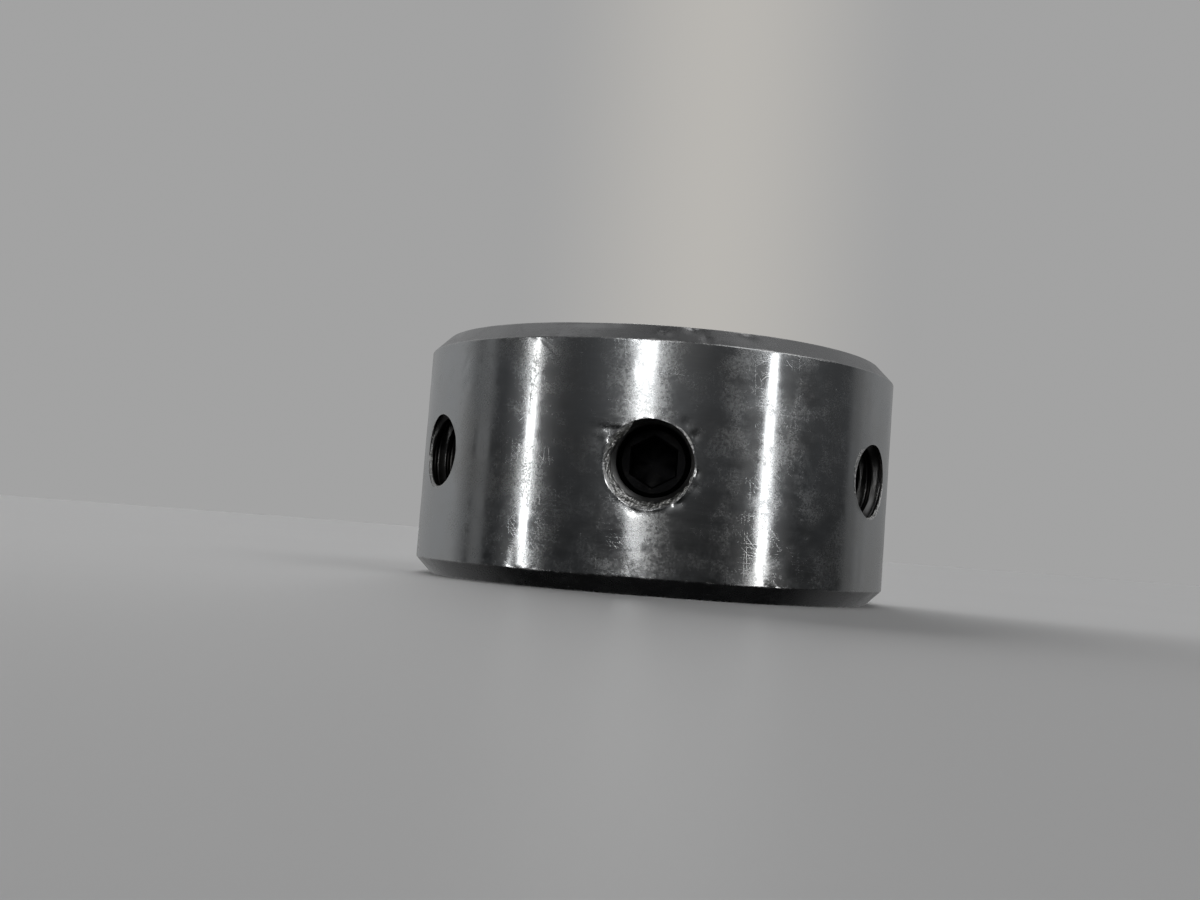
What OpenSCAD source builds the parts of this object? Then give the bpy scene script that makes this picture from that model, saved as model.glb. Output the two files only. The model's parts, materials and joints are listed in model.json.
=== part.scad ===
// Clamping collar for a round shaft: one thick ring with six tapped holes at mid-height.
// Each hole holds a set screw, and a loose brass pad between the screw and the shaft.
// The collar stands on an end face, with the bore along +Z and the origin at the bottom of the bore.

/* [Collar] */
// Outside diameter
collar_od = 36; // [32:1:48]
// Height along the bore
collar_h = 18; // [14:1:30]
// Leg of the 45 degree chamfer on both outer edges
edge_chamfer = 1.2; // [0.4:0.1:2]
// Diameter of the bore for the shaft
bore_d = 16; // [14:1:18]
// Leg of the 45 degree chamfer at both ends of the bore
bore_chamfer = 0.6; // [0.2:0.1:1]

/* [Tapped holes] */
// Number of holes, evenly spaced round the collar
hole_count = 6; // [2:1:6]
// Diameter of the drilled hole, which is the inside of the thread
drill_d = 5; // [4.8:0.1:5.2]
// Diameter of the countersink where the hole meets the outside of the collar
countersink_d = 6; // [5.4:0.1:7]

/* [Set screws] */
// Length from point to face
screw_len = 5; // [4:0.5:5]
// Width across the flats of the hexagon socket
socket_af = 3; // [2:0.5:3]
// Depth of the hexagon socket
socket_depth = 2.2; // [1:0.1:2.5]
// Diameter of the cup in the point
cup_d = 3; // [1.5:0.1:3.4]
// Leg of the 45 degree chamfer at both ends
screw_chamfer = 0.5; // [0.2:0.1:0.6]

/* [Brass pads] */
// Thickness of a pad
pad_h = 1.5; // [1:0.1:1.8]
// How far a pad sits back from the bore with its screw slack
pad_setback = 0.3; // [0.1:0.1:0.5]
// Leg of the 45 degree chamfer on both rims
pad_chamfer = 0.2; // [0.1:0.1:0.4]

/* [Fits] */
// Gap on the radius between a hole and the screw or pad that moves in it
running_gap = 0.05; // [0.02:0.01:0.1]

/* [Hidden] */
$fn = 96;
HOLES = [1 : hole_count];

STEEL = [0.78, 0.79, 0.80];
BLACK_STEEL = [0.15, 0.15, 0.16];
BRASS = [0.76, 0.60, 0.28];

collar_r = collar_od / 2;
bore_r = bore_d / 2;
plug_r = drill_d / 2 - running_gap;
cup_depth = cup_d / 5;
hex_d = socket_af / cos(30);
socket_point = socket_af / 4;  // depth of the drill's cone below the hexagon
past = 1;                      // how far a cutting shape runs past the face it cuts
seam_turn = 25;                // angle from +X where the collar's turned faces start and close

// Distances from the bore's axis to the ends of a pad and of its screw
pad_start = bore_r + pad_setback;
screw_start = pad_start + pad_h;

// Half of the collar's section: distance from the bore's axis, height
collar_section = [
    [bore_r, bore_chamfer],
    [bore_r + bore_chamfer, 0],
    [collar_r - edge_chamfer, 0],
    [collar_r, edge_chamfer],
    [collar_r, collar_h - edge_chamfer],
    [collar_r - edge_chamfer, collar_h],
    [bore_r + bore_chamfer, collar_h],
    [bore_r, collar_h - bore_chamfer]
];

// Lays a shape drawn up +Z from the bore's axis along hole i; hole 1 points along -Y
module along_hole(i) {
    translate([0, 0, collar_h / 2])
        rotate([0, 0, (i - 1) * 360 / hole_count - 90])
            rotate([0, 90, 0])
                children();
}

// A round bar of radius r and length h with both rims chamfered
module chamfered_bar(r, h, chamfer) {
    rotate_extrude()
        polygon([
            [0, 0],
            [r - chamfer, 0],
            [r, chamfer],
            [r, h - chamfer],
            [r - chamfer, h],
            [0, h]
        ]);
}

// The drilled hole from the bore outwards, with its countersink
module tapped_hole() {
    sink = (countersink_d - drill_d) / 2;
    translate([0, 0, bore_r / 2])
        cylinder(h = collar_r, d = drill_d);
    translate([0, 0, collar_r - sink])
        cylinder(h = sink + past, d1 = drill_d, d2 = countersink_d + 2 * past);
}

module collar() {
    color(STEEL)
        difference() {
            rotate([0, 0, seam_turn])
                rotate_extrude($fn = 180)
                    polygon(collar_section);
            for (i = HOLES)
                along_hole(i)
                    tapped_hole();
        }
}

// Set screw with its cup point towards the bore and its hexagon socket outwards
module set_screw() {
    color(BLACK_STEEL)
        translate([0, 0, screw_start])
            difference() {
                chamfered_bar(plug_r, screw_len, screw_chamfer);
                translate([0, 0, screw_len - socket_depth])
                    cylinder(h = socket_depth + past, d = hex_d, $fn = 6);
                translate([0, 0, screw_len - socket_depth - socket_point])
                    cylinder(h = socket_point, d1 = 0, d2 = socket_af);
                translate([0, 0, -past])
                    cylinder(h = cup_depth + past, d1 = cup_d * (1 + past / cup_depth), d2 = 0);
            }
}

module brass_pad() {
    color(BRASS)
        translate([0, 0, pad_start])
            chamfered_bar(plug_r, pad_h, pad_chamfer);
}

collar();
for (i = HOLES) {
    along_hole(i) set_screw();
    along_hole(i) brass_pad();
}
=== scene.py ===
import json
from math import atan2, ceil, cos, degrees, pi, radians, sin, tan

import bmesh
import bpy
import numpy as np
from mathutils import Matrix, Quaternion, Vector, noise


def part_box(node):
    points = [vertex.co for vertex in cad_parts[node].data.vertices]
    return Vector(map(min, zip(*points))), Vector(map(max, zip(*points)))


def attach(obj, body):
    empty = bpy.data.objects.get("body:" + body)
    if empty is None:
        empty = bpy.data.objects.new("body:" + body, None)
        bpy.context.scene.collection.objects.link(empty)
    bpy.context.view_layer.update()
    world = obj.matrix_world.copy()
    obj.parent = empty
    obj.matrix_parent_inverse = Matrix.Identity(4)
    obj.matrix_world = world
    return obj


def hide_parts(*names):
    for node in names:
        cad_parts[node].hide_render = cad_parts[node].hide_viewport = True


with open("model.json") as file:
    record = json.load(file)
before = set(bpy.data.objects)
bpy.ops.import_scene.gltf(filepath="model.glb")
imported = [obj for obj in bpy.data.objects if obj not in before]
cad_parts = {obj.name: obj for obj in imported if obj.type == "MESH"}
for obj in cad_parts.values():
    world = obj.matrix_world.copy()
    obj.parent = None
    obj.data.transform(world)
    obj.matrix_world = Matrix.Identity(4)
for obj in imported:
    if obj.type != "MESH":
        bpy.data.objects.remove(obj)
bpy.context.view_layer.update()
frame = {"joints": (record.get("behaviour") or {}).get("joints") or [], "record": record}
mm = 0.001

# sizes, all read off the frame, in millimetres
collarLow, collarHigh = (np.array(corner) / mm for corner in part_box("collar"))
outerRadius = (collarHigh[0] - collarLow[0]) / 2
collarHeight = collarHigh[2] - collarLow[2]
midHeight = collarHeight / 2
boreMount = next(m for m in frame["record"]["mounts"] if m["name"] == "bore")
boreRadius = boreMount["dims"]["r_mm"]
boreChamfer = (collarHeight - boreMount["dims"]["length_mm"]) / 2
turnJoints = [j for j in frame["joints"] if j["type"] == "hinge"]
holeDirections = [np.array(j["axis"]) / np.linalg.norm(j["axis"]) for j in turnJoints]
screwLow, screwHigh = (np.array(corner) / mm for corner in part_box("set_screw_1"))
padLow, padHigh = (np.array(corner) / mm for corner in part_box("brass_pad_1"))
screwStart, screwEnd = -screwHigh[1], -screwLow[1]   # distances out from the bore's axis
padStart, padEnd = -padHigh[1], -padLow[1]
plugRadius = (screwHigh[0] - screwLow[0]) / 2
up = np.array((0.0, 0.0, 1.0))

cameraView = {
    "lens": 39.06,        # mm, on a 36 mm wide sensor
    "distance": 5.717,    # in collar radii
    "azimuth": 0.35,      # degrees round from hole 1
    "elevation": -3.0,
    "aimAcross": -0.245,  # where it looks, in collar radii from the collar's middle
    "aimUp": 0.085,
    "roll": 4.35,
}


def makeCamera(view):
    middle = Vector((0, 0, midHeight * mm))
    radius = outerRadius * mm
    azimuth, elevation = radians(view["azimuth"]), radians(view["elevation"])
    away = Vector((sin(azimuth) * cos(elevation), -cos(azimuth) * cos(elevation), sin(elevation)))
    camera = bpy.data.objects.new("camera", bpy.data.cameras.new("camera"))
    bpy.context.scene.collection.objects.link(camera)
    camera.location = middle + away * view["distance"] * radius
    aim = middle + Vector((view["aimAcross"], 0, view["aimUp"])) * radius
    looking = (aim - camera.location).to_track_quat("-Z", "Y")
    camera.rotation_mode = "QUATERNION"
    camera.rotation_quaternion = looking @ Quaternion((0, 0, 1), radians(view["roll"]))
    camera.data.lens = view["lens"]
    camera.data.sensor_width = 36
    camera.data.clip_start = 0.001
    camera.data.clip_end = 20
    bpy.context.scene.camera = camera


makeCamera(cameraView)
print("camera made")


# mesh tools: a build gathers grids and strips of faces, and welds the points that coincide

def newBuild():
    return {"points": [], "normals": [], "faces": [], "kinds": [], "count": 0}


def addPoints(build, points, normals=None):
    # returns the number of the first point added; normals are given where a face is truly turned
    points = points.reshape(-1, 3)
    build["points"].append(points)
    build["normals"].append(np.zeros_like(points) if normals is None else normals.reshape(-1, 3))
    first = build["count"]
    build["count"] += len(points)
    return first


def addGrid(build, points, kind, normals=None):
    rows, columns = points.shape[:2]
    first = addPoints(build, points, normals)
    for i in range(rows - 1):
        for j in range(columns - 1):
            k = first + i * columns + j
            build["faces"].append((k, k + 1, k + columns + 1, k + columns))
            build["kinds"].append(kind)


def addStrip(build, rowA, placesA, rowB, placesB, kind, normalsA=None, normalsB=None):
    # triangles between two rows with different numbers of points; places run the same way along both
    a, b = addPoints(build, rowA, normalsA), addPoints(build, rowB, normalsB)
    i, j = 0, 0
    while i < len(rowA) - 1 or j < len(rowB) - 1:
        stepA = i < len(rowA) - 1 and (j == len(rowB) - 1 or placesA[i + 1] <= placesB[j + 1])
        if stepA:
            build["faces"].append((a + i, a + i + 1, b + j))
            i += 1
        else:
            build["faces"].append((a + i, b + j + 1, b + j))
            j += 1
        build["kinds"].append(kind)


def unit(vectors):
    return vectors / np.maximum(np.linalg.norm(vectors, axis=-1, keepdims=True), 1e-12)


def weld(build, grid=0.001):
    points, normals = np.concatenate(build["points"]), np.concatenate(build["normals"])
    keys = np.round(points / grid + 0.1234).astype(np.int64)
    _, first, which = np.unique(keys, axis=0, return_index=True, return_inverse=True)
    which = which.reshape(-1)
    summed = np.zeros((len(first), 3))
    np.add.at(summed, which, normals)
    faces, kinds = [], []
    for face, kind in zip(build["faces"], build["kinds"]):
        corners = list(dict.fromkeys(int(which[k]) for k in face))
        if len(corners) > 2:
            faces.append(corners)
            kinds.append(kind)
    return points[first], unit(summed), faces, kinds


def makePiece(name, points, faces, kinds):
    mesh = bpy.data.meshes.new(name)
    mesh.from_pydata([tuple(p) for p in points * mm], [], faces)
    mesh.polygons.foreach_set("material_index", kinds)
    tidy = bmesh.new()
    tidy.from_mesh(mesh)
    bmesh.ops.recalc_face_normals(tidy, faces=tidy.faces)
    openEdges = sum(not edge.is_manifold for edge in tidy.edges)
    triangles = sum(len(face.verts) - 2 for face in tidy.faces)
    tidy.to_mesh(mesh)
    tidy.free()
    mesh.shade_smooth()
    piece = bpy.data.objects.new(name, mesh)
    bpy.context.scene.collection.objects.link(piece)
    print(name, triangles, "triangles,", openEdges, "open edges")
    return piece


def meshFaces(mesh):
    starts, totals, kinds = (np.empty(len(mesh.polygons), int) for _ in range(3))
    loops = np.empty(len(mesh.loops), int)
    mesh.polygons.foreach_get("loop_start", starts)
    mesh.polygons.foreach_get("loop_total", totals)
    mesh.polygons.foreach_get("material_index", kinds)
    mesh.loops.foreach_get("vertex_index", loops)
    return starts, totals, kinds, loops


def vertexNormals(points, starts, totals, loops, chosen):
    # area-weighted normals of the chosen faces, summed at their vertices
    normals = np.zeros_like(points)
    for size in np.unique(totals[chosen]):
        first = starts[chosen & (totals == size)]
        ring = loops[first[:, None] + np.arange(size)]
        corners = points[ring]
        area = np.cross(corners, np.roll(corners, -1, axis=1)).sum(axis=1)
        for k in range(size):
            np.add.at(normals, ring[:, k], area)
    return unit(normals)


def smoothStep(low, high, value):
    t = np.clip((value - low) / (high - low), 0, 1)
    return t * t * (3 - 2 * t)


def placeInHole(direction, across, height, out):
    # hole coordinates to the frame's own: across runs round the collar, height up, out away from the bore
    side = np.cross(up, direction)
    return (np.multiply.outer(out, direction) + np.multiply.outer(across, side)
            + np.multiply.outer(height, up) + midHeight * up)


# thread form, shared by the holes and the screws: share of a turn along, share of the depth
threadPitch = 1.0
threadDepth = 0.5
threadForm = [(0.0, 0.0), (0.12, 0.04), (0.38, 0.88), (0.5, 1.0), (0.62, 0.88), (0.88, 0.04)]


def threadRadius(angles, out, baseRadius):
    # radius of the thread at any place along the hole
    along, depth = zip(*threadForm, (1.0, 0.0))
    return baseRadius + threadDepth * np.interp((out / threadPitch - angles / (2 * pi)) % 1, along, depth)


def threadRows(angles, start, end, baseRadius):
    # one row for each point of the form in each turn; a right-hand turn climbs outwards
    rows = []
    for turn in range(int(start / threadPitch) - 2, int(ceil(end / threadPitch)) + 1):
        for along, depth in threadForm:
            out = threadPitch * (turn + along + angles / (2 * pi))
            rows.append((out, np.full_like(angles, baseRadius + threadDepth * depth)))
    return rows


# the collar

collarShape = {
    "rimColumns": 96,        # mesh columns along a hole's share of each outer rim
    "boreColumns": 40,       # and of each bore rim
    "sideColumns": 16,       # up each side of that share
    "holeColumns": 96,       # round each hole
    "chamfer": 1.2,
    "edgeRound": 0.12,       # radius worn onto the sharp edges
    "drillRadius": 2.5,
    "frontMouth": 2.98,      # deburred rim of hole 1, on the outside
    "frontMouthShift": (-0.29, -0.36),
    "mouthRadius": 2.68,     # and of the other holes
    "mouthWander": 0.07,
    "boreMouth": 2.68,
    "frontBurr": 0.055,      # lip thrown up round hole 1
    "burrHeight": 0.015,     # and round the others
    "burrWidth": 0.12,
    "markedHeight": 4.5,     # half of the band round the middle where marks fade out down the holes
    "markLimit": 0.04,       # how far a mark may stand out
    "chipsPerEdge": 34,
    "chatter": 0.12,         # unevenness of the hand-cut countersinks
}

# knocks on the outside: degrees round from hole 1, height from the middle, size round and up, depth (mm)
knocks = [
    (-9.2, 1.77, 0.8, 0.13, 0.15),
    (-8.0, 1.15, 0.4, 0.13, 0.12),
    (-12.1, 1.0, 0.16, 0.14, 0.07),
    (-12.3, 1.4, 0.12, 0.2, 0.05),
    (-16.5, 8.9, 1.8, 0.16, 0.18),
    (-11.0, 8.95, 0.5, 0.15, 0.06),
    (0.5, 8.4, 0.4, 0.25, 0.18),
    (7.0, 8.75, 0.6, 0.22, 0.25),
    (9.5, 8.2, 0.25, 0.3, 0.12),
    (19.0, 8.6, 0.8, 0.45, 0.18),
    (-51.0, 4.7, 0.6, 0.13, 0.11),
    (-50.0, 6.0, 0.3, 0.25, 0.03),
    (-3.5, 5.8, 0.12, 0.12, 0.05),
    (59.5, 5.4, 0.14, 0.2, 0.05),
    (-29.0, -7.75, 0.5, 0.13, 0.05),
    (28.5, -7.75, 0.35, 0.16, 0.07),
    (-25.0, 7.4, 0.12, 0.5, 0.02),
]

# dents round hole 1: angle, distance from its axis, size along the rim, size away from it, height (mm)
rimDamage = [
    (-118, 3.08, 0.38, 0.36, -0.125),
    (-107, 3.6, 0.25, 0.25, -0.06),
    (-96, 3.2, 0.16, 0.25, -0.09),
    (-66, 3.2, 0.34, 0.22, -0.07),
    (-56, 3.35, 0.15, 0.2, -0.09),
    (-31, 3.3, 0.16, 0.18, -0.08),
    (-15, 3.0, 0.2, 0.15, -0.08),
    (33, 3.1, 0.2, 0.16, -0.1),
    (52, 3.15, 0.25, 0.12, -0.08),
    (-150, 3.35, 0.5, 0.12, -0.04),
    (158, 3.0, 0.2, 0.2, -0.14),
]


# material slots of the collar
turnedFace, chamferFace, threadFace, sinkFace = range(4)


def roundedCorner(before, here, after, rounding, steps=4):
    # points and outward normals round one corner of a section
    before, here, after = (np.array(p, float) for p in (before, here, after))
    a, b = unit(before - here), unit(after - here)
    half = 0.5 * np.arccos(np.clip(a @ b, -1, 1))
    reach = rounding / tan(half)
    middle = here + unit(a + b) * rounding / sin(half)
    share = np.linspace(0, 1, steps + 1)[:, None]
    spokes = unit((here + a * reach - middle) * (1 - share) + (here + b * reach - middle) * share)
    return middle + spokes * rounding, spokes


def joinSections(*parts):
    return np.concatenate([p for p, _ in parts]), np.concatenate([n for _, n in parts])


def straight(start, end, normal, places):
    places = np.array(places)[:, None]
    return start + (end - start) * places, np.tile(unit(np.array(normal, float)), (len(places), 1))


def collarSections():
    # upper half: outer edge, chamfer and rim of the face; then the rest of the face and the bore's chamfer
    leg, rounding = collarShape["chamfer"], collarShape["edgeRound"]
    corners = [(outerRadius, midHeight), (outerRadius, collarHeight - leg), (outerRadius - leg, collarHeight)]
    corners += [(boreRadius + boreChamfer, collarHeight), (boreRadius, collarHeight - boreChamfer),
                (boreRadius, midHeight)]
    rounds = [roundedCorner(*corners[k - 1:k + 2], rounding) for k in range(1, 5)]
    chamfer = straight(rounds[0][0][-1], rounds[1][0][0], (1, 1), np.linspace(0, 1, 9)[1:-1])
    flatStart, flatEnd = rounds[1][0][-1], rounds[2][0][0]
    rim = straight(flatStart, flatEnd, (0, 1), (0.015, 0.04, 0.08, 0.13))
    face = straight(flatStart, flatEnd, (0, 1), (0.18, 0.35, 0.55, 0.75, 0.9))
    boreSide = straight(rounds[2][0][-1], rounds[3][0][0], (-1, 1), (0.33, 0.67))
    outer = {"edge": rounds[0], "chamfer": chamfer, "rim": joinSections(rounds[1], rim)}
    inner = joinSections(face, rounds[2], boreSide, rounds[3])
    return outer, inner


outerSection, innerSection = collarSections()
outerEdgeHeight = outerSection["edge"][0][0][1] - midHeight
boreEdgeHeight = innerSection[0][-1][1] - midHeight
sectorHalf = pi / len(holeDirections)
holeAngles = np.linspace(-pi, pi, collarShape["holeColumns"] + 1)


def turnSection(direction, section, columns, lower):
    # one hole's share of the rings that a section sweeps, above or below the middle
    points, normals = section
    middle = atan2(direction[1], direction[0])
    angles = middle + np.linspace(-sectorHalf, sectorHalf, columns + 1)
    turns = np.stack([np.cos(angles), np.sin(angles), np.ones_like(angles)])
    rings = np.stack([points[:, 0], points[:, 0], points[:, 1] - midHeight], axis=1)
    leans = np.stack([normals[:, 0], normals[:, 0], normals[:, 1]], axis=1)
    flip = np.array((1, 1, -1 if lower else 1))
    grid = rings[:, None, :] * turns.T[None] * flip + midHeight * up
    return grid, leans[:, None, :] * turns.T[None] * flip


def sectorRim(halfAcross, halfHeight, columns):
    # points round one hole's share of a wall, anticlockwise from the middle of its left side
    half = collarShape["sideColumns"] // 2
    side = np.linspace(0, halfHeight, half + 1)
    along = np.linspace(-halfAcross, halfAcross, columns + 1)
    across = np.concatenate([np.full(half, -halfAcross), along[:-1], np.full(2 * half, halfAcross),
                             -along[:-1], np.full(half + 1, -halfAcross)])
    height = np.concatenate([-side[:-1], np.full(columns, -halfHeight),
                             np.concatenate([-side[::-1], side[1:]])[:-1],
                             np.full(columns, halfHeight), side[::-1]])
    return across, height


def onWall(direction, radius, across, height):
    # across is measured along the wall; returns points and their true normals
    turn = across / radius
    points = placeInHole(direction, radius * np.sin(turn), height, radius * np.cos(turn))
    side = np.cross(up, direction)
    lean = np.multiply.outer(np.cos(turn), direction) + np.multiply.outer(np.sin(turn), side)
    return points, lean


def wallPatch(build, direction, radius, mouth, halfHeight, columns, inside):
    # from the mouth out to a circle, then on to the edges of the hole's share
    sign = -1 if inside else 1
    ring = 0.62 * radius * sectorHalf if not inside else 0.88 * radius * sectorHalf
    mouthAcross = radius * np.arcsin(mouth * np.cos(holeAngles) / radius)
    mouthHeight = mouth * np.sin(holeAngles)
    growth = 1.42 ** np.arange(12)
    places = np.concatenate([[0], np.cumsum(growth) / growth.sum()])[:, None]
    across = (1 - places) * mouthAcross + places * ring * np.cos(holeAngles)
    height = (1 - places) * mouthHeight + places * ring * np.sin(holeAngles)
    points, lean = onWall(direction, radius, across, height)
    addGrid(build, points, turnedFace, sign * lean)
    rimAcross, rimHeight = sectorRim(radius * sectorHalf, halfHeight, columns)
    rimAngles = np.unwrap(np.arctan2(rimHeight, rimAcross))
    rimAngles += -pi - rimAngles[0]
    stepOut = ring * 1.06
    places = np.array((0.0, 0.3, 0.6, 0.85, 0.95, 1.0))[:, None]
    across = (1 - places) * stepOut * np.cos(rimAngles) + places * rimAcross
    height = (1 - places) * stepOut * np.sin(rimAngles) + places * rimHeight
    outerPoints, outerLean = onWall(direction, radius, across, height)
    addGrid(build, outerPoints, turnedFace, sign * outerLean)
    addStrip(build, points[-1], holeAngles, outerPoints[0], rimAngles, turnedFace,
             sign * lean[-1], sign * outerLean[0])


def wobble(angles, seed, scale=1.0):
    # smooth noise that closes round a ring, one value per angle
    return np.array([noise.noise(Vector((cos(t) * scale, sin(t) * scale, seed * 7.3))) for t in angles])


def mouthRadii(index):
    # a hand-deburred rim: a little off centre, each hole its own way
    if index == 0:
        shift, radius = collarShape["frontMouthShift"], collarShape["frontMouth"]
    else:
        wander = collarShape["mouthWander"]
        shift = np.random.default_rng(40 + index).uniform(-wander, wander, 2)
        radius = collarShape["mouthRadius"]
    radii = radius + shift[0] * np.cos(holeAngles) + shift[1] * np.sin(holeAngles)
    radii = radii + 0.03 * wobble(holeAngles, index, 2.2) + 0.02 * wobble(holeAngles, index + 20, 6)
    return np.maximum(radii, collarShape["drillRadius"] + 0.05)


def sinkRows(index, mouth, mouthOut, sinkDepth):
    # the countersink with its chatter marks, never narrower than the thread that runs out into it
    drill = collarShape["drillRadius"]
    rows = []
    for place in np.linspace(0, 1, 9):
        coarse = wobble(holeAngles, index + 40 + 3 * place, 4)
        fine = wobble(holeAngles, index + 60 + 9 * place, 11)
        uneven = collarShape["chatter"] * smoothStep(0, 0.2, place) * (coarse + 0.6 * fine)
        cone = mouth + (drill - mouth) * place + uneven * smoothStep(0, 0.3, mouth - drill)
        out = mouthOut - sinkDepth * place
        thread = threadRadius(holeAngles, out, drill) if place > 0 else drill
        rows.append((out, np.maximum(cone, thread)))
    return rows


def holeWall(build, index, direction, mouth):
    # countersink, then the thread, then the small chamfer into the bore
    drill, inner = collarShape["drillRadius"], collarShape["boreMouth"]
    mouthOut = np.sqrt(outerRadius ** 2 - (mouth * np.cos(holeAngles)) ** 2)
    innerOut = np.sqrt(boreRadius ** 2 - (inner * np.cos(holeAngles)) ** 2)
    sinkDepth = (mouth - drill) * 0.95
    rows = sinkRows(index, mouth, mouthOut, sinkDepth)
    sinkEnd = len(rows)
    threadTop = mouthOut - sinkDepth - 0.02
    threadFoot = innerOut + (inner - drill)
    for out, _ in reversed(threadRows(holeAngles, boreRadius, outerRadius, drill)):
        out = np.clip(out, threadFoot, threadTop)
        rows.append((out, threadRadius(holeAngles, out, drill)))
    rows.append((innerOut, np.full_like(holeAngles, inner)))
    points = np.array([
        placeInHole(direction, radius * np.cos(holeAngles), radius * np.sin(holeAngles), out)
        for out, radius in rows
    ])
    addGrid(build, points[:sinkEnd], sinkFace)
    addGrid(build, points[sinkEnd - 1:], threadFace)


def closeAngles(degreesRound, aim):
    return (degreesRound - aim + 180) % 360 - 180


def edgeChips():
    # the knocks chosen above, and small chips scattered along the four outer edges
    draw = np.random.default_rng(12)
    chips = list(knocks)
    for edge in (outerEdgeHeight + 0.05, -outerEdgeHeight - 0.05, midHeight - 0.08, 0.08 - midHeight):
        for _ in range(collarShape["chipsPerEdge"]):
            chips.append((draw.uniform(-180, 180), edge + draw.normal(0, 0.05), draw.uniform(0.07, 0.45),
                          draw.uniform(0.06, 0.2), draw.uniform(0.01, 0.045)))
    return chips


def outerDamage(points, mouths):
    # how far each point of the outside moves out: knocks and small chips inwards, burrs outwards
    reach = np.hypot(points[:, 0], points[:, 1])
    turn = np.degrees(np.arctan2(points[:, 0], -points[:, 1]))
    height = points[:, 2] - midHeight
    moved = np.zeros(len(points))
    for aim, middle, across, along, depth in edgeChips():
        beside = radians(1) * closeAngles(turn, aim) * outerRadius / across
        above = (height - middle) / along
        near = (np.abs(beside) < 3) & (np.abs(above) < 3)
        moved[near] -= depth * np.exp(-beside[near] ** 2 - above[near] ** 2)
    for index, (direction, mouth) in enumerate(zip(holeDirections, mouths)):
        across, out = points @ np.cross(up, direction), points @ direction
        away = np.hypot(across, height)
        angle = np.arctan2(height, across)
        near = (out > 0) & (away < 5) & (reach > outerRadius - 1)
        lip = np.interp(angle, holeAngles, mouth)
        coarse, fine = wobble(holeAngles, index + 80, 3.5), wobble(holeAngles, index + 90, 12)
        rough = np.interp(angle, holeAngles, 0.45 + 1.1 * coarse + 0.5 * fine)
        beyond = (away - lip) / collarShape["burrWidth"]
        lipHeight = collarShape["frontBurr" if index == 0 else "burrHeight"]
        burr = lipHeight * np.clip(rough, 0, 1.3) * np.exp(-np.clip(beyond, 0, 9) ** 1.5)
        moved += np.where(near & (beyond > -3), burr, 0)
        for aim, distance, along, outwards, rise in (rimDamage if index == 0 else []):
            beside = np.radians(closeAngles(np.degrees(angle), aim)) * away / along
            further = (away - distance) / outwards
            moved += np.where(near, rise * np.exp(-np.clip(beside ** 2 + further ** 2, 0, 40)), 0)
    # the marks fade out down the holes, above their threads, and further in on the end faces
    inHoles = smoothStep(outerRadius - 0.55, outerRadius - 0.2, reach)
    onFaces = smoothStep(outerRadius - 1.9, outerRadius - 1.1, reach)
    moved = moved * np.where(np.abs(height) < collarShape["markedHeight"], inHoles, onFaces)
    return np.minimum(moved, outerRadius + collarShape["markLimit"] - reach)


def edgeCloseness(points, mouths):
    # 1 on a sharp edge, falling to 0 about half a millimetre away
    reach = np.hypot(points[:, 0], points[:, 1])
    height = points[:, 2] - midHeight
    beside = np.abs(height)
    chamfer = collarShape["chamfer"]
    distance = np.minimum.reduce([
        np.hypot(reach - outerRadius, beside - (midHeight - chamfer)),
        np.hypot(reach - outerRadius + chamfer, beside - midHeight),
        np.hypot(reach - boreRadius - boreChamfer, beside - midHeight),
        np.hypot(reach - boreRadius, beside - (midHeight - boreChamfer)),
    ])
    for direction, mouth in zip(holeDirections, mouths):
        across, out = points @ np.cross(up, direction), points @ direction
        away = np.hypot(across, height)
        lip = np.interp(np.arctan2(height, across), holeAngles, mouth)
        near = (out > 0) & (reach > outerRadius - 1)
        distance = np.where(near, np.minimum(distance, np.abs(away - lip) * 0.8), distance)
    return np.exp(-distance / 0.16)


def endOfCollar(build, direction, lower):
    # one hole's share of an end: rounded edge, chamfer, face and the bore's chamfer
    whole = joinSections(outerSection["edge"], outerSection["chamfer"], outerSection["rim"])
    edgeEnd = len(outerSection["edge"][0])
    chamferEnd = edgeEnd + len(outerSection["chamfer"][0])
    columns = (collarShape["rimColumns"], collarShape["boreColumns"])
    points, leans = turnSection(direction, whole, columns[0], lower)
    chamfer = slice(edgeEnd - 1, chamferEnd + 1)
    addGrid(build, points[:edgeEnd], turnedFace, leans[:edgeEnd])
    addGrid(build, points[chamfer], chamferFace, leans[chamfer])
    addGrid(build, points[chamferEnd:], turnedFace, leans[chamferEnd:])
    inner, innerLeans = turnSection(direction, innerSection, columns[1], lower)
    addGrid(build, inner, turnedFace, innerLeans)
    places = [np.linspace(0, 1, count + 1) for count in columns]
    addStrip(build, points[-1], places[0], inner[0], places[1], turnedFace, leans[-1], innerLeans[0])


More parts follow.
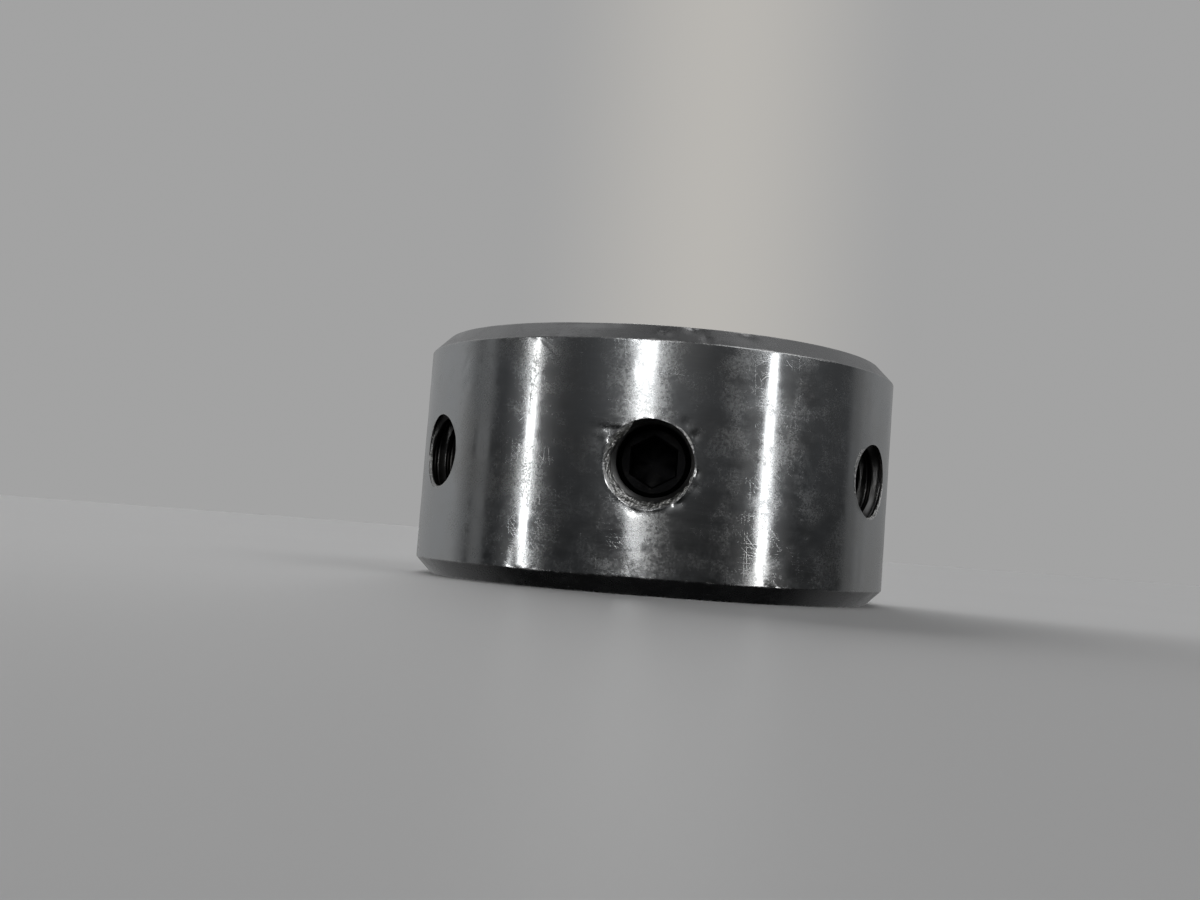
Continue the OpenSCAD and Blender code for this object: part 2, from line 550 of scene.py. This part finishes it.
def makeCollar():
    build = newBuild()
    mouths = [mouthRadii(index) for index in range(len(holeDirections))]
    shape = collarShape
    for index, direction in enumerate(holeDirections):
        endOfCollar(build, direction, False)
        endOfCollar(build, direction, True)
        wallPatch(build, direction, outerRadius, mouths[index], outerEdgeHeight, shape["rimColumns"], False)
        boreMouth = np.full_like(holeAngles, shape["boreMouth"])
        wallPatch(build, direction, boreRadius, boreMouth, boreEdgeHeight, shape["boreColumns"], True)
        holeWall(build, index, direction, mouths[index])
    points, trueNormals, faces, kinds = weld(build)
    outwards = points * (1, 1, 0)
    edges = edgeCloseness(points, mouths)
    worn = points + unit(outwards) * outerDamage(points, mouths)[:, None]
    piece = makePiece("collarRing", worn, faces, kinds)
    mesh = piece.data
    starts, totals, kinds, loops = meshFaces(mesh)
    cut = kinds >= threadFace
    smooth = ~cut
    # turned faces keep their true normals, bent by as much as the wear bends the mesh
    before, after = (vertexNormals(places, starts, totals, loops, smooth) for places in (points, worn))
    bend = after - before
    turned, threads = unit(trueNormals + bend), vertexNormals(worn, starts, totals, loops, cut)
    loopNormals = np.where(np.repeat(smooth, totals)[:, None], turned[loops], threads[loops])
    mesh.normals_split_custom_set([tuple(n) for n in loopNormals])
    mesh.attributes.new("edgeWear", "FLOAT", "POINT").data.foreach_set("value", edges.astype(np.float32))
    return piece


collarRing = makeCollar()
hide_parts("collar")
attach(collarRing, "collar")
print("collar made")


# the set screws

screwShape = {
    "columns": 72,
    "gap": 0.08,          # between its thread and the hole's
    "endRadius": 2.15,    # of the flat ends, inside the chamfers
    "socketAcross": 3.0,  # across the flats
    "socketDepth": 2.2,
    "socketBevel": 0.12,
    "cupRadius": 1.5,
    "cupDepth": 0.6,
    "padGap": 0.015,      # keeps the point clear of the pad
}


def hexagonRadius(angles, acrossFlats):
    return acrossFlats / 2 / np.cos((angles + pi / 6) % (pi / 3) - pi / 6)


def sharpen(piece, limit=32):
    piece.data.set_sharp_from_angle(angle=radians(limit))


def makeScrew(index, direction):
    shape = screwShape
    angles = np.linspace(0, 2 * pi, shape["columns"] + 1)
    even = np.ones_like(angles)
    start, end = screwStart + shape["padGap"], screwEnd
    socket = hexagonRadius(angles, shape["socketAcross"])
    floor = end - shape["socketDepth"]
    rows = [
        (start + shape["cupDepth"], 0 * even),
        (start + shape["cupDepth"] * 0.12, even * shape["cupRadius"] * 0.88),
        (start, even * shape["cupRadius"]),
        (start, even * (shape["cupRadius"] + 0.25)),
    ]
    rows = [(out * even, radius) for out, radius in rows]
    for out, radius in threadRows(angles, start, end, collarShape["drillRadius"] - shape["gap"]):
        out = np.clip(out, start, end)
        radius = np.minimum(radius, shape["endRadius"] + np.minimum(out - start, end - out))
        rows.append((out, radius))
    rows += [(out * even, radius) for out, radius in [
        (end, socket + shape["socketBevel"]),
        (end - shape["socketBevel"], socket),
        (floor, socket),
        (floor - 0.02, np.minimum(socket, shape["socketAcross"] / 2) * 0.98),
        (floor - 0.7, 0 * even),
    ]]
    build = newBuild()
    addGrid(build, np.array([
        placeInHole(direction, radius * np.cos(angles), radius * np.sin(angles), out) for out, radius in rows
    ]), 0)
    points, _, faces, kinds = weld(build)
    piece = makePiece(f"setScrew{index}", points, faces, kinds)
    sharpen(piece)
    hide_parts(f"set_screw_{index}")
    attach(piece, f"screw_{index}")
    return piece


screws = [makeScrew(index + 1, direction) for index, direction in enumerate(holeDirections)]
print("screws made")


# the brass pads

padShape = {
    "columns": 72,
    "rimRound": 0.22,
    "dish": 0.05,        # wear towards the shaft
    "printRadius": 1.5,  # ring printed by the screw's cup
    "sideGap": 0.03,
}


def makePad(index, direction):
    shape = padShape
    angles = np.linspace(0, 2 * pi, shape["columns"] + 1)
    radius, start, end = plugRadius - shape["sideGap"], padStart, padEnd
    rounding, ring, dish = shape["rimRound"], shape["printRadius"], shape["dish"]
    section = [(start + dish, 0.0), (start + dish * 0.8, radius * 0.35), (start + 0.02, radius * 0.7),
               (start, radius - rounding)]
    section += [(start + rounding * (1 - cos(t)), radius - rounding * (1 - sin(t)))
                for t in np.linspace(0.3, pi / 2, 4)]
    section += [(end - rounding * (1 - cos(t)), radius - rounding * (1 - sin(t)))
                for t in np.linspace(pi / 2, 0.3, 4)]
    section += [(end, radius - rounding), (end, ring + 0.12), (end - 0.03, ring + 0.04),
                (end - 0.03, ring - 0.04), (end, ring - 0.12), (end, 0.0)]
    build = newBuild()
    addGrid(build, np.array([
        placeInHole(direction, r * np.cos(angles), r * np.sin(angles), np.full_like(angles, out))
        for out, r in section
    ]), 0)
    points, _, faces, kinds = weld(build)
    piece = makePiece(f"brassPad{index}", points, faces, kinds)
    sharpen(piece)
    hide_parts(f"brass_pad_{index}")
    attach(piece, f"pad_{index}")
    return piece


pads = [makePad(index + 1, direction) for index, direction in enumerate(holeDirections)]
print("pads made")


# node helpers

def giveInputs(tree, node, inputs):
    for name, value in inputs.items():
        if isinstance(value, bpy.types.NodeSocket):
            tree.links.new(value, node.inputs[name])
        else:
            node.inputs[name].default_value = value


def addNode(tree, kind, inputs=None, **settings):
    node = tree.nodes.new("ShaderNode" + kind)
    for name, value in settings.items():
        setattr(node, name, value)
    giveInputs(tree, node, inputs or {})
    return node


def combine(tree, operation, a, b=0.0):
    return addNode(tree, "Math", {0: a, 1: b}, operation=operation).outputs[0]


def scaled(tree, value, amount):
    return combine(tree, "MULTIPLY", value, amount)


def addUp(tree, *terms):
    total = terms[0]
    for term in terms[1:]:
        total = combine(tree, "ADD", total, term)
    return total


def ramp(tree, value, low, high, toLow=0.0, toHigh=1.0):
    node = addNode(tree, "MapRange", {"Value": value, "From Min": low, "From Max": high,
                                      "To Min": toLow, "To Max": toHigh}, interpolation_type="SMOOTHSTEP")
    return node.outputs["Result"]


def mixColor(tree, share, a, b):
    node = addNode(tree, "Mix", data_type="RGBA")
    for name, value in (("Factor_Float", share), ("A_Color", a), ("B_Color", b)):
        socket = next(s for s in node.inputs if s.identifier == name)
        if isinstance(value, bpy.types.NodeSocket):
            tree.links.new(value, socket)
        else:
            socket.default_value = value if name == "Factor_Float" else (*value, 1)
    return next(s for s in node.outputs if s.identifier == "Result_Color")


def newGroup(name, inputs, outputs):
    tree = bpy.data.node_groups.new(name, "ShaderNodeTree")
    for label, kind, value in inputs:
        socket = tree.interface.new_socket(label, in_out="INPUT", socket_type="NodeSocket" + kind)
        if value is not None:
            socket.default_value = value
    for label in outputs:
        tree.interface.new_socket(label, in_out="OUTPUT", socket_type="NodeSocketFloat")
    return tree, tree.nodes.new("NodeGroupInput").outputs, tree.nodes.new("NodeGroupOutput").inputs


def useGroup(tree, group, inputs, output):
    node = tree.nodes.new("ShaderNodeGroup")
    node.node_tree = group
    giveInputs(tree, node, inputs)
    return node.outputs[output]


def noiseAt(tree, place, scale, detail=2.0, rough=0.5, fourth=None):
    # noise of a vector, or of a vector and a fourth value
    inputs = {"Vector": place, "Scale": scale, "Detail": detail, "Roughness": rough}
    if fourth is not None:
        inputs["W"] = fourth
    node = addNode(tree, "TexNoise", noise_dimensions="3D" if fourth is None else "4D")
    giveInputs(tree, node, inputs)
    return node.outputs["Fac"]


def makeTurningMarks():
    # grooves that run round the bore's axis on any turned face; place is in mm
    tree, given, made = newGroup("turningMarks", [
        ("Place", "Vector", None), ("Pitch", "Float", 0.1), ("Run", "Float", 6.0), ("Detail", "Float", 2.0),
    ], ["Height"])
    axes = addNode(tree, "SeparateXYZ", {0: given["Place"]}).outputs
    flat = addNode(tree, "CombineXYZ", {0: axes[0], 1: axes[1]}).outputs[0]
    reach = addNode(tree, "VectorMath", {0: flat}, operation="LENGTH").outputs["Value"]
    offAxis = combine(tree, "MAXIMUM", reach, 0.1)
    spread = combine(tree, "DIVIDE", outerRadius, combine(tree, "MULTIPLY", given["Run"], offAxis))
    aroundFace = addNode(tree, "VectorMath", {0: flat, "Scale": spread}, operation="SCALE").outputs[0]
    apart = combine(tree, "DIVIDE", 1.0, given["Pitch"])
    upwards = addNode(tree, "CombineXYZ", {2: combine(tree, "MULTIPLY", axes[2], apart)}).outputs[0]
    where = addNode(tree, "VectorMath", {0: aroundFace, 1: upwards}, operation="ADD").outputs[0]
    height = noiseAt(tree, where, 1.0, given["Detail"], fourth=combine(tree, "MULTIPLY", reach, apart))
    tree.links.new(height, made["Height"])
    return tree


def makeUnrolled(tree, place):
    # place laid flat: round the collar, up, and out
    axes = addNode(tree, "SeparateXYZ", {0: place}).outputs
    flat = addNode(tree, "CombineXYZ", {0: axes[0], 1: axes[1]}).outputs[0]
    reach = addNode(tree, "VectorMath", {0: flat}, operation="LENGTH").outputs["Value"]
    turn = combine(tree, "ARCTAN2", axes[0], scaled(tree, axes[1], -1.0))
    around = scaled(tree, turn, outerRadius)
    return addNode(tree, "CombineXYZ", {0: around, 1: axes[2], 2: reach}).outputs[0]


def makeScratches():
    # thin lines at one slant, broken into short runs; 1 on a line
    tree, given, made = newGroup("scratches", [
        ("Place", "Vector", None), ("Slant", "Float", 0.3), ("Length", "Float", 4.0), ("Gap", "Float", 0.5),
        ("Width", "Float", 0.02), ("Share", "Float", 0.5),
    ], ["Mask"])
    sheet = makeUnrolled(tree, given["Place"])
    slanted = addNode(tree, "VectorRotate", {"Vector": sheet, "Angle": given["Slant"]},
                      rotation_type="Z_AXIS").outputs[0]
    long, close = (combine(tree, "DIVIDE", 1.0, given[name]) for name in ("Length", "Gap"))
    stretch = addNode(tree, "CombineXYZ", {0: long, 1: close, 2: close}).outputs[0]
    where = addNode(tree, "VectorMath", {0: slanted, 1: stretch}, operation="MULTIPLY").outputs[0]
    offLine = combine(tree, "ABSOLUTE", combine(tree, "SUBTRACT", noiseAt(tree, where, 1.0, 0.0), 0.5))
    line = ramp(tree, offLine, given["Width"], 0.0)
    patches = noiseAt(tree, given["Place"], 0.45, 3.0, 0.6)
    limit = combine(tree, "SUBTRACT", 0.68, combine(tree, "MULTIPLY", given["Share"], 0.36))
    shown = ramp(tree, patches, limit, combine(tree, "ADD", limit, 0.06))
    tree.links.new(combine(tree, "MULTIPLY", line, shown), made["Mask"])
    return tree


def makeSmudges():
    # soft blotches; size is in mm, share is how much of the face they cover
    tree, given, made = newGroup("smudges", [
        ("Place", "Vector", None), ("Size", "Float", 3.0), ("Share", "Float", 0.5),
        ("Softness", "Float", 0.12), ("Detail", "Float", 4.0),
    ], ["Mask"])
    cells = noiseAt(tree, given["Place"], combine(tree, "DIVIDE", 1.0, given["Size"]), given["Detail"], 0.62)
    limit = combine(tree, "SUBTRACT", 0.72, combine(tree, "MULTIPLY", given["Share"], 0.44))
    low, high = (combine(tree, way, limit, given["Softness"]) for way in ("SUBTRACT", "ADD"))
    tree.links.new(ramp(tree, cells, low, high), made["Mask"])
    return tree


def makePits():
    # small dark pits, in a share of the cells of a grid; 1 in a pit
    tree, given, made = newGroup("pits", [
        ("Place", "Vector", None), ("Spacing", "Float", 2.0), ("Size", "Float", 0.08),
        ("Share", "Float", 0.4),
    ], ["Mask"])
    cells = addNode(tree, "TexVoronoi", {"Vector": given["Place"],
                                         "Scale": combine(tree, "DIVIDE", 1.0, given["Spacing"])})
    size = combine(tree, "DIVIDE", given["Size"], given["Spacing"])
    hole = ramp(tree, cells.outputs["Distance"], size, combine(tree, "MULTIPLY", size, 0.4))
    pick = addNode(tree, "SeparateXYZ", {0: cells.outputs["Color"]}).outputs[0]
    chosen = combine(tree, "LESS_THAN", pick, given["Share"])
    tree.links.new(combine(tree, "MULTIPLY", hole, chosen), made["Mask"])
    return tree


def makeWornEdges():
    # wear that starts on sharp edges and breaks up away from them
    tree, given, made = newGroup("wornEdges", [
        ("Place", "Vector", None), ("Edge", "Float", 0.0), ("Size", "Float", 0.8), ("Reach", "Float", 0.5),
    ], ["Mask"])
    broken = noiseAt(tree, given["Place"], combine(tree, "DIVIDE", 1.0, given["Size"]), 4.0, 0.65)
    uneven = scaled(tree, combine(tree, "SUBTRACT", broken, 0.5), 1.6)
    reach = combine(tree, "ADD", given["Edge"], uneven)
    limit = combine(tree, "SUBTRACT", 1.0, given["Reach"])
    tree.links.new(ramp(tree, reach, limit, combine(tree, "ADD", limit, 0.25)), made["Mask"])
    return tree


turningMarks, scratches, smudges, pits, wornEdges = (
    makeTurningMarks(), makeScratches(), makeSmudges(), makePits(), makeWornEdges())


# materials

def newMaterial(name):
    material = bpy.data.materials.new(name)
    material.use_nodes = True
    tree = material.node_tree
    shader = tree.nodes["Principled BSDF"]
    place = addNode(tree, "VectorMath", {0: addNode(tree, "TexCoord").outputs["Object"], "Scale": 1 / mm},
                    operation="SCALE").outputs[0]
    return material, tree, shader, place


def bumpFrom(tree, shader, height):
    # height is in mm
    bump = addNode(tree, "Bump", {"Height": height, "Strength": 1.0, "Distance": mm})
    tree.links.new(bump.outputs["Normal"], shader.inputs["Normal"])


# scratch directions on every steel face: slant (radians), length and gap (mm)
scratchRuns = ((0.06, 14.0, 0.3), (0.8, 8.0, 0.5), (-0.6, 10.0, 0.7), (1.5, 9.0, 0.5))


def steelMasks(tree, place, look):
    # where the marks of making and use are, each 0 to 1
    edge = addNode(tree, "Attribute", attribute_name="edgeWear").outputs["Fac"]
    lines = [
        useGroup(tree, scratches, {"Place": place, "Slant": slant, "Length": length, "Gap": gap,
                                   "Width": 0.008, "Share": look["scratches"]}, "Mask")
        for slant, length, gap in scratchRuns
    ]
    return {
        "fine": useGroup(tree, turningMarks, {"Place": place, "Pitch": 0.07, "Run": 9.0}, "Height"),
        "waves": useGroup(tree, turningMarks, {"Place": place, "Pitch": 0.6, "Run": 2.2,
                                               "Detail": 3.0}, "Height"),
        "dents": noiseAt(tree, place, 0.3, 2.0),
        "haze": useGroup(tree, smudges, {"Place": place, "Size": look["hazeSize"], "Share": look["haze"],
                                         "Softness": 0.14}, "Mask"),
        "grain": useGroup(tree, smudges, {"Place": place, "Size": 0.16, "Share": 0.5, "Softness": 0.25,
                                          "Detail": 2.0}, "Mask"),
        "film": useGroup(tree, smudges, {"Place": place, "Size": 6.0, "Share": 0.5, "Softness": 0.2}, "Mask"),
        "scratches": addUp(tree, *lines),
        "pits": useGroup(tree, pits, {"Place": place, "Spacing": 1.7, "Size": 0.07,
                                      "Share": look["pits"]}, "Mask"),
        "worn": useGroup(tree, wornEdges, {"Place": place, "Edge": edge, "Reach": look["wear"]}, "Mask"),
    }


def steelMaterial(name, look):
    material, tree, shader, place = newMaterial(name)
    masks = steelMasks(tree, place, look)
    # a thin film darkens the colour (on the threads, colour and film are painted shade inside the holes),
    # pits are almost black, worn edges are clean
    color = mixColor(tree, scaled(tree, masks["film"], look["film"]), look["color"], look["filmColor"])
    color = mixColor(tree, scaled(tree, masks["pits"], 0.85), color, (0.05, 0.05, 0.05))
    color = mixColor(tree, scaled(tree, masks["worn"], 0.7), color, look["wornColor"])
    tree.links.new(color, shader.inputs["Base Color"])
    cloudy = combine(tree, "MULTIPLY", masks["haze"], combine(tree, "ADD", masks["grain"], 0.35))
    rough = addUp(
        tree,
        scaled(tree, cloudy, look["hazeRoughness"]),
        scaled(tree, masks["waves"], look["banding"]),
        scaled(tree, masks["scratches"], 0.08),
        scaled(tree, masks["pits"], 0.3),
        scaled(tree, masks["worn"], look["wornRoughness"]),
        look["roughness"],
    )
    tree.links.new(combine(tree, "MINIMUM", rough, 0.8), shader.inputs["Roughness"])
    height = addUp(
        tree,
        scaled(tree, masks["fine"], look["fineDepth"]),
        scaled(tree, masks["waves"], look["waveDepth"]),
        scaled(tree, masks["dents"], look["dentDepth"]),
        scaled(tree, masks["scratches"], -look["scratchDepth"]),
        scaled(tree, masks["pits"], -0.02),
        scaled(tree, combine(tree, "MULTIPLY", masks["worn"], masks["grain"]), -0.006),
    )
    if look["facets"]:
        height = addUp(tree, height, scaled(tree, noiseAt(tree, place, 4.5, 1.0), look["facets"]))
    bumpFrom(tree, shader, height)
    shader.inputs["Metallic"].default_value = 1.0
    shader.inputs["Anisotropic"].default_value = look["anisotropic"]
    if look["anisotropic"]:
        tangent = addNode(tree, "Tangent", direction_type="RADIAL", axis="Z").outputs[0]
        shader.inputs["Anisotropic Rotation"].default_value = 0.25
        tree.links.new(tangent, shader.inputs["Tangent"])
    return material


# colours, then roughness, then depths in mm, then how much of each mark there is
turnedLook = {
    "color": (0.62, 0.64, 0.655),
    "filmColor": (0.55, 0.54, 0.52),
    "wornColor": (0.74, 0.74, 0.74),
    "roughness": 0.06,
    "hazeRoughness": 0.17,
    "wornRoughness": 0.12,
    "banding": 0.13,
    "hazeSize": 2.8,
    "fineDepth": 0.0007,
    "waveDepth": 0.005,
    "dentDepth": 0.003,
    "scratchDepth": 0.0006,
    "facets": 0.0,
    "film": 0.5,
    "haze": 0.5,
    "scratches": 0.5,
    "pits": 0.3,
    "wear": 0.3,
    "anisotropic": 0.7,
}
chamferLook = dict(
    turnedLook, color=(0.46, 0.465, 0.47), filmColor=(0.36, 0.36, 0.37), roughness=0.15, hazeRoughness=0.12,
    fineDepth=0.0025, waveDepth=0.006, scratches=0.9, wear=0.42, anisotropic=0.6)
# the threads: painted shade inside the holes, a much darker copy of the turned steel with an almost black
# film over most of it
threadShadeLook = dict(
    turnedLook, color=(0.13, 0.13, 0.13), filmColor=(0.05, 0.047, 0.043), wornColor=(0.36, 0.36, 0.36),
    film=0.9, roughness=0.23, fineDepth=0.002, wear=0.2, anisotropic=0.0)
sinkLook = dict(
    turnedLook, color=(0.76, 0.76, 0.75), filmColor=(0.4, 0.4, 0.36), wornColor=(0.88, 0.88, 0.88),
    film=0.8, roughness=0.26, hazeSize=0.8, fineDepth=0.003, waveDepth=0.01, facets=0.15, wear=0.6,
    anisotropic=0.0)

for name, look in (("turnedSteel", turnedLook), ("chamferSteel", chamferLook),
                   ("threadSteel", threadShadeLook), ("cutSteel", sinkLook)):
    collarRing.data.materials.append(steelMaterial(name, look))


def makeBlackSteel():
    # black oxide over fine machining, rubbed grey on the high spots
    material, tree, shader, place = newMaterial("blackSteel")
    rubbed = useGroup(tree, smudges, {"Place": place, "Size": 0.5, "Share": 0.28, "Softness": 0.08}, "Mask")
    grain = noiseAt(tree, place, 9.0, 3.0)
    oil = useGroup(tree, smudges, {"Place": place, "Size": 1.6, "Share": 0.5, "Softness": 0.1}, "Mask")
    color = mixColor(tree, rubbed, (0.005, 0.005, 0.0055), (0.011, 0.0105, 0.01))
    rough = addUp(tree, scaled(tree, oil, -0.14), scaled(tree, grain, 0.15), 0.42)
    tree.links.new(color, shader.inputs["Base Color"])
    tree.links.new(rough, shader.inputs["Roughness"])
    bumpFrom(tree, shader, scaled(tree, grain, 0.006))
    shader.inputs["Metallic"].default_value = 0.7
    shader.inputs["Specular IOR Level"].default_value = 0.15
    return material


def makePadBrass():
    # saw-cut brass gone dull, brighter where it has rubbed
    material, tree, shader, place = newMaterial("padBrass")
    dull = useGroup(tree, smudges, {"Place": place, "Size": 0.9, "Share": 0.6, "Softness": 0.15}, "Mask")
    lines = useGroup(tree, scratches, {"Place": place, "Slant": 0.4, "Length": 2.0, "Gap": 0.12,
                                       "Width": 0.05, "Share": 1.0}, "Mask")
    color = mixColor(tree, scaled(tree, dull, 0.75), (0.78, 0.57, 0.25), (0.36, 0.24, 0.1))
    rough = addUp(tree, scaled(tree, dull, 0.2), scaled(tree, lines, 0.1), 0.24)
    tree.links.new(color, shader.inputs["Base Color"])
    tree.links.new(rough, shader.inputs["Roughness"])
    bumpFrom(tree, shader, addUp(tree, scaled(tree, lines, -0.004), scaled(tree, dull, 0.002)))
    shader.inputs["Metallic"].default_value = 1.0
    return material


blackSteel, padBrass = makeBlackSteel(), makePadBrass()
for piece in screws:
    piece.data.materials.append(blackSteel)
for piece in pads:
    piece.data.materials.append(padBrass)
print("materials made")


# the stage: a pale satin floor with painted shade out in front, a plain backdrop with a painted band of
# light, and a studio that is seen only in what shines

stageLook = {
    "floorRadius": 2.0,           # m
    "floorColor": (0.675, 0.675, 0.675),
    "floorDarkest": 0.58,         # share of its colour that the floor keeps in its painted shade out in front
    "floorRoughness": 0.44,
    "floorGloss": 0.06,
    "backdrop": (0.365, 0.365, 0.365),
    "backdropGlow": (0.53, 0.51, 0.475),
    "glowPlace": (178.5, 9, -45, 60, 4.5, 0.7),   # where the painted band of light on the backdrop lies, given as the lamps below
    "keyStrength": 2.4,
    "keyLift": 20,                # degrees above the floor
    "keyAzimuth": -155,           # round from hole 1
    "keySpread": 50,
    "frontLow": (0.019, 0.0195, 0.02),       # the dark side of the room, at the floor
    "frontHigh": (0.062, 0.063, 0.065),      # and above it
    "overhead": (0.08, 0.08, 0.081),
    "underneath": 0.3,            # share of the light that is left straight below
}

# lamps and panels: azimuth round from hole 1, width, lowest and highest elevation, softness, brightness
studioLights = {
    "leftStrip": (-61.6, 2.8, -45, 8.5, 1.0, 7.0),
    "middleStrip": (-6.8, 7.4, 7.2, 34, 1.0, 7.0),
    "middleGlow": (-6.8, 6.0, -45, 5.0, 3.0, 0.03),
    "rightStrip": (54.0, 3.4, -45, 7.5, 1.0, 6.0),
    "leftHalo": (-61.6, 20, -45, 12, 8, 0.09),
    "middleHalo": (-5.0, 42, 8, 34, 12, 0.13),
    "rightHalo": (54.0, 22, -45, 12, 8, 0.09),
    "leftGrey": (-90.5, 9, -45, 40, 1.2, 0.11),
    "leftPale": (-134, 64, -45, 60, 10, 0.24),
    "rightGrey": (112, 14, -45, 40, 2.5, 0.08),
    "rightPale": (142, 48, -45, 60, 8, 0.175),
    "backPanel": (180, 34, -45, 60, 12, 0.09),
    "highLamp": (62, 46, 18, 60, 6, 0.9),
    "backStrip": (180, 9, -45, 30, 1.2, 2.5),
}
lampLabels = ("Middle", "Width", "Lowest", "Highest", "Softness", "Brightness")


def makeSoftBox():
    # how bright one lamp or panel looks in a given direction, in degrees
    tree, given, made = newGroup("softBox", [
        (label, "Float", 0.0) for label in ("Azimuth", "Elevation", *lampLabels)
    ], ["Light"])
    soft, elevation = given["Softness"], given["Elevation"]
    offset = combine(tree, "SUBTRACT", given["Azimuth"], given["Middle"])
    offset = addNode(tree, "Math", {0: offset, 1: 180.0, 2: -180.0}, operation="WRAP").outputs[0]
    half = scaled(tree, given["Width"], 0.5)
    inner, outer = (combine(tree, way, half, soft) for way in ("SUBTRACT", "ADD"))
    across = ramp(tree, combine(tree, "ABSOLUTE", offset), outer, inner)
    start, full = (combine(tree, way, given["Lowest"], soft) for way in ("SUBTRACT", "ADD"))
    above = ramp(tree, elevation, start, full)
    end = combine(tree, "ADD", given["Highest"], scaled(tree, soft, 3.0))
    below = ramp(tree, elevation, end, given["Highest"])
    light = combine(tree, "MULTIPLY", combine(tree, "MULTIPLY", across, above), below)
    tree.links.new(combine(tree, "MULTIPLY", light, given["Brightness"]), made["Light"])
    return tree


def makeWorld():
    look = stageLook
    world = bpy.data.worlds.new("studio")
    bpy.context.scene.world = world
    world.use_nodes = True
    tree = world.node_tree
    axes = addNode(tree, "SeparateXYZ", {0: addNode(tree, "TexCoord").outputs["Generated"]}).outputs
    azimuth = combine(tree, "ARCTAN2", axes[0], scaled(tree, axes[1], -1.0))
    elevation = combine(tree, "ARCSINE", axes[2])
    facing = {"Azimuth": scaled(tree, azimuth, degrees(1)), "Elevation": scaled(tree, elevation, degrees(1))}
    height = facing["Elevation"]
    softBox = makeSoftBox()
    lamps = [useGroup(tree, softBox, {**facing, **dict(zip(lampLabels, values))}, "Light")
             for values in studioLights.values()]
    base = mixColor(tree, ramp(tree, height, -3.0, 11.0), look["frontLow"], look["frontHigh"])
    base = mixColor(tree, ramp(tree, height, 25.0, 70.0), base, look["overhead"])
    light = addNode(tree, "CombineXYZ", {axis: addUp(tree, *lamps) for axis in range(3)}).outputs[0]
    seen = addNode(tree, "VectorMath", {0: base, 1: light}, operation="ADD").outputs[0]
    dimmed = ramp(tree, height, -40.0, -3.0, look["underneath"])
    seen = addNode(tree, "VectorMath", {0: seen, "Scale": dimmed}, operation="SCALE").outputs[0]
    # a painted band of light on the backdrop, seen only by the camera
    glow = useGroup(tree, softBox, {**facing, **dict(zip(lampLabels, look["glowPlace"]))}, "Light")
    backdrop = mixColor(tree, glow, look["backdrop"], look["backdropGlow"])
    color = mixColor(tree, addNode(tree, "LightPath").outputs["Is Camera Ray"], seen, backdrop)
    tree.links.new(color, tree.nodes["Background"].inputs["Color"])


def makeFloor():
    angles = np.linspace(0, 2 * pi, 65)[:-1]
    rim = np.stack([np.cos(angles), np.sin(angles), np.zeros_like(angles)], axis=1) * stageLook["floorRadius"]
    mesh = bpy.data.meshes.new("floor")
    mesh.from_pydata([tuple(p) for p in rim], [], [tuple(range(len(rim)))])
    floor = bpy.data.objects.new("floor", mesh)
    bpy.context.scene.collection.objects.link(floor)
    floor.visible_glossy = False
    material, tree, shader, place = newMaterial("paleFloor")
    cloud = noiseAt(tree, place, 0.02, 3.0)
    grey = np.array(stageLook["floorColor"])
    pale = mixColor(tree, cloud, tuple(grey * 0.97), tuple(grey * 1.03))
    sides = addNode(tree, "SeparateXYZ", {0: place}).outputs
    # painted light and shade on the floor: paler round the collar and far behind it, painted shade out in
    # front and most of all to one side
    near = ramp(tree, addUp(tree, sides[1], scaled(tree, sides[0], -0.3)), -190.0, 10.0)
    far = ramp(tree, sides[1], -120.0, -900.0)
    lit = combine(tree, "MAXIMUM", near, far)
    dark = tuple(grey * stageLook["floorDarkest"])
    tree.links.new(mixColor(tree, lit, dark, pale), shader.inputs["Base Color"])
    rough = addUp(tree, scaled(tree, cloud, 0.06), stageLook["floorRoughness"])
    tree.links.new(rough, shader.inputs["Roughness"])
    shader.inputs["Specular IOR Level"].default_value = stageLook["floorGloss"]
    mesh.materials.append(material)


def makeKeyLight():
    light = bpy.data.lights.new("softKey", "SUN")
    light.energy = stageLook["keyStrength"]
    light.angle = radians(stageLook["keySpread"])
    holder = bpy.data.objects.new("softKey", light)
    bpy.context.scene.collection.objects.link(holder)
    holder.rotation_euler = (radians(90 - stageLook["keyLift"]), 0, radians(stageLook["keyAzimuth"]))
    holder.visible_glossy = False


makeWorld()
makeFloor()
makeKeyLight()
bpy.context.scene.view_settings.view_transform = "Standard"
print("stage made")
